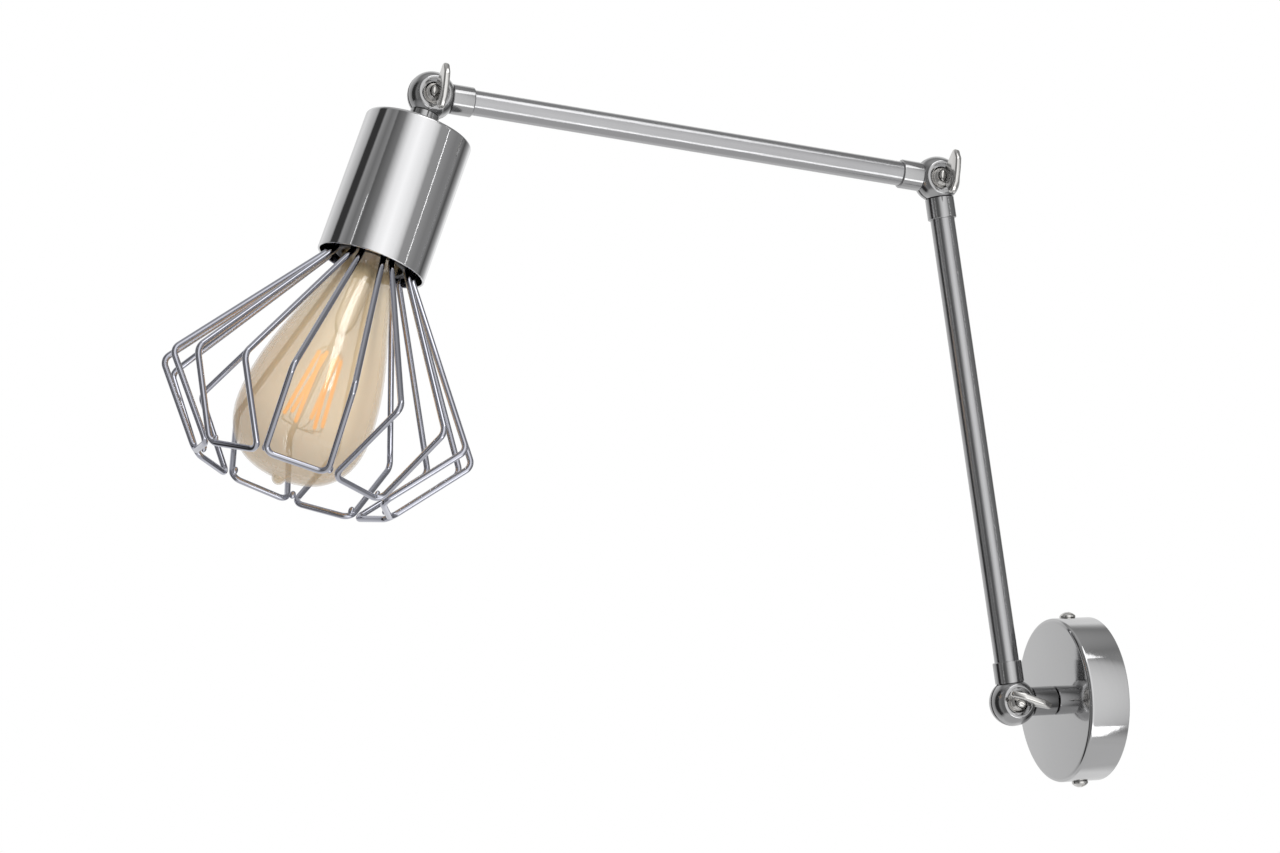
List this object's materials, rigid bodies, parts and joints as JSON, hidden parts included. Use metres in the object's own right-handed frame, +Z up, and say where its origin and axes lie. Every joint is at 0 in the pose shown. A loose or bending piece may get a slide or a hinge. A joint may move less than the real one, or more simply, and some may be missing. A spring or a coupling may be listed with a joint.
{
  "type": "swing arm wall sconce",
  "caption": "Wall light on jointed tube arms with thumb-screw knuckles, a cylindrical lamp cup and a bent-wire cage round a filament bulb.",
  "frame": {"origin": "centre of the wall-screw pattern, on the wall plane at the canopy's axis", "axes": "+X into the wall, +Z up, arms reach out along -X"},
  "size_m": [0.4516, 0.1502, 0.3521],
  "materials": {
    "polished_chrome": "mirror polish",
    "cast_chrome": "polished casting",
    "screw_nickel": "polished nickel",
    "satin_tube": "satin, drawn lengthwise",
    "cage_wire": "bright plated wire",
    "zinc_plate": "zinc plated",
    "brass": "turned",
    "bulb_brass": "nickelled brass",
    "cream_plastic": "matt",
    "black_plastic": "gloss",
    "black_fibre": "matt",
    "lead_sleeve": "matt",
    "white_ceramic": "glazed",
    "amber_glass": "amber tinted, clear",
    "clear_glass": "clear",
    "filament": "phosphor coated"
  },
  "bodies": {
    "wall_mount": {"canopy": "polished_chrome", "wall_bracket": "zinc_plate", "canopy_screws": "screw_nickel", "earth_screw": "brass", "terminal_block": "cream_plastic", "terminal_screws": "zinc_plate", "base_slip_washer": "zinc_plate"},
    "base_turret": {"base_rear_half": "cast_chrome", "base_nipple": "brass", "base_lock_nut": "brass", "base_friction_ring": "black_fibre"},
    "base_screw": {"base_thumb_screw": "screw_nickel"},
    "lower_arm": {"base_front_half": "cast_chrome", "base_spring_washer": "zinc_plate", "lower_arm_tube": "satin_tube", "lower_arm_leads": "lead_sleeve", "elbow_rear_half": "cast_chrome", "elbow_friction_ring": "black_fibre"},
    "elbow_screw": {"elbow_thumb_screw": "screw_nickel"},
    "upper_arm": {"elbow_front_half": "cast_chrome", "elbow_spring_washer": "zinc_plate", "upper_arm_tube": "satin_tube", "upper_arm_leads": "lead_sleeve", "head_front_half": "cast_chrome", "head_spring_washer": "zinc_plate"},
    "head_screw": {"head_thumb_screw": "screw_nickel"},
    "lamp_head": {"head_friction_ring": "black_fibre", "head_rear_half": "cast_chrome", "head_nipple": "brass", "head_lock_nut": "brass", "lamp_cup": "polished_chrome", "cage_plate": "cage_wire", "cage_petal_1": "cage_wire", "cage_petal_2": "cage_wire", "cage_petal_3": "cage_wire", "cage_petal_4": "cage_wire", "cage_petal_5": "cage_wire", "cage_petal_6": "cage_wire", "cage_petal_7": "cage_wire", "cage_petal_8": "cage_wire", "cage_petal_9": "cage_wire", "holder_cap": "black_plastic", "holder_body": "black_plastic", "holder_contact_block": "white_ceramic", "holder_screw_shell": "brass", "holder_centre_contact": "brass", "bulb_glass": "amber_glass", "bulb_cap": "bulb_brass", "bulb_insulator": "black_plastic", "bulb_contact": "zinc_plate", "bulb_stem": "clear_glass", "bulb_support_wires": "zinc_plate", "bulb_filaments": "filament"}
  },
  "joints": [
    {"name": "base_turn", "type": "hinge", "parent": "wall_mount", "child": "base_turret", "pos_m": [0, 0, 0], "axis": [-1, 0, 0], "range_deg": [-170, 170]},
    {"name": "base_fold", "type": "hinge", "parent": "base_turret", "child": "lower_arm", "pos_m": [-0.043, 0, 0], "axis": [0, -1, 0], "range_deg": [-10, 181]},
    {"name": "elbow_fold", "type": "hinge", "parent": "lower_arm", "child": "upper_arm", "pos_m": [-0.0634, 0, 0.2592], "axis": [0, -1, 0], "range_deg": [-80, 27]},
    {"name": "head_fold", "type": "hinge", "parent": "upper_arm", "child": "lamp_head", "pos_m": [-0.32054, 0, 0.29763], "axis": [0, -1, 0], "range_deg": [-180, 28]},
    {"name": "base_screw_turn", "type": "hinge", "parent": "base_turret", "child": "base_screw", "pos_m": [-0.043, 0, 0], "axis": [0, -1, 0], "range_deg": [0, 270]},
    {"name": "elbow_screw_turn", "type": "hinge", "parent": "lower_arm", "child": "elbow_screw", "pos_m": [-0.0634, 0, 0.2592], "axis": [0, -1, 0], "range_deg": [0, 270]},
    {"name": "head_screw_turn", "type": "hinge", "parent": "lamp_head", "child": "head_screw", "pos_m": [-0.32054, 0, 0.29763], "axis": [0, -1, 0], "range_deg": [0, 270]}
  ]
}
